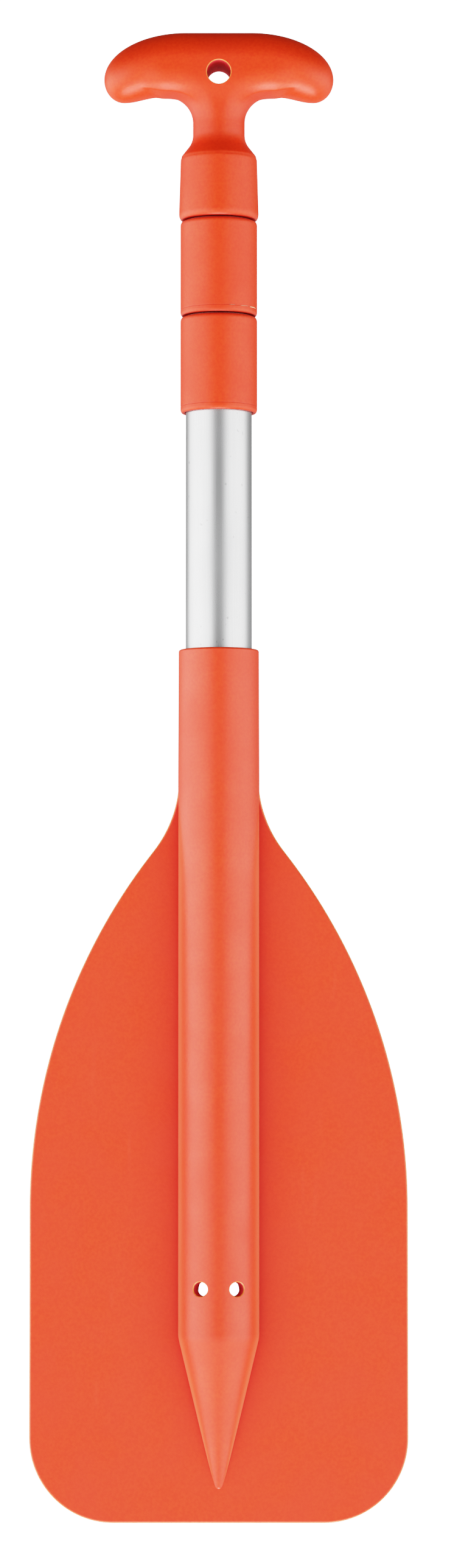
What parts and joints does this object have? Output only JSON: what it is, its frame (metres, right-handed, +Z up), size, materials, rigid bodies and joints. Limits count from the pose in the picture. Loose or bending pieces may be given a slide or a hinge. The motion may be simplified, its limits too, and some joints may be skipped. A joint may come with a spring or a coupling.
{
  "type": "telescoping paddle",
  "caption": "Collapsible small-craft paddle: moulded blade with a round socket, telescoping aluminium tubes with grip collars and twist locks, and a T-grip with a lanyard hole.",
  "frame": {"origin": "middle of the blade's bottom edge", "axes": "+Z up the shaft from the blade to the T-grip, +X across the blade and along the T-grip, front towards -Y"},
  "size_m": [0.1262, 0.0272, 0.5],
  "materials": {
    "orange_plastic": "satin moulded polypropylene with a faint grain",
    "aluminium": "satin anodised",
    "nylon": "natural nylon",
    "black_plastic": "glass-filled nylon",
    "steel": "stainless steel"
  },
  "bodies": {
    "blade_section": {"blade": "orange_plastic", "blade_rivet": "aluminium", "outer_tube": "aluminium", "lower_collar": "orange_plastic", "lower_guide_ring": "nylon"},
    "middle_lock_ring": {"middle_cam_ring": "nylon"},
    "middle_section": {"middle_tube": "aluminium", "upper_collar": "orange_plastic", "upper_guide_ring": "nylon", "middle_cam_plug": "black_plastic", "middle_cam_washer": "steel", "middle_cam_screw": "steel", "middle_plug_pin": "steel"},
    "inner_lock_ring": {"inner_cam_ring": "nylon"},
    "handle_section": {"inner_tube": "aluminium", "handle": "orange_plastic", "handle_rivet": "aluminium", "inner_cam_plug": "black_plastic", "inner_cam_washer": "steel", "inner_cam_screw": "steel", "inner_plug_pin": "steel"}
  },
  "joints": [
    {"name": "middle_slide", "type": "slide", "parent": "blade_section", "child": "middle_lock_ring", "axis": [0, 0, 1], "range_m": [0, 0.2794]},
    {"name": "middle_twist", "type": "hinge", "parent": "middle_lock_ring", "child": "middle_section", "pos_m": [0, 0, 0.1], "axis": [0, 0, -1], "range_deg": [0, 60]},
    {"name": "inner_slide", "type": "slide", "parent": "middle_section", "child": "inner_lock_ring", "axis": [0, 0, 1], "range_m": [0, 0.2794]},
    {"name": "inner_twist", "type": "hinge", "parent": "inner_lock_ring", "child": "handle_section", "pos_m": [0, 0, 0.13], "axis": [0, 0, -1], "range_deg": [0, 60]}
  ]
}
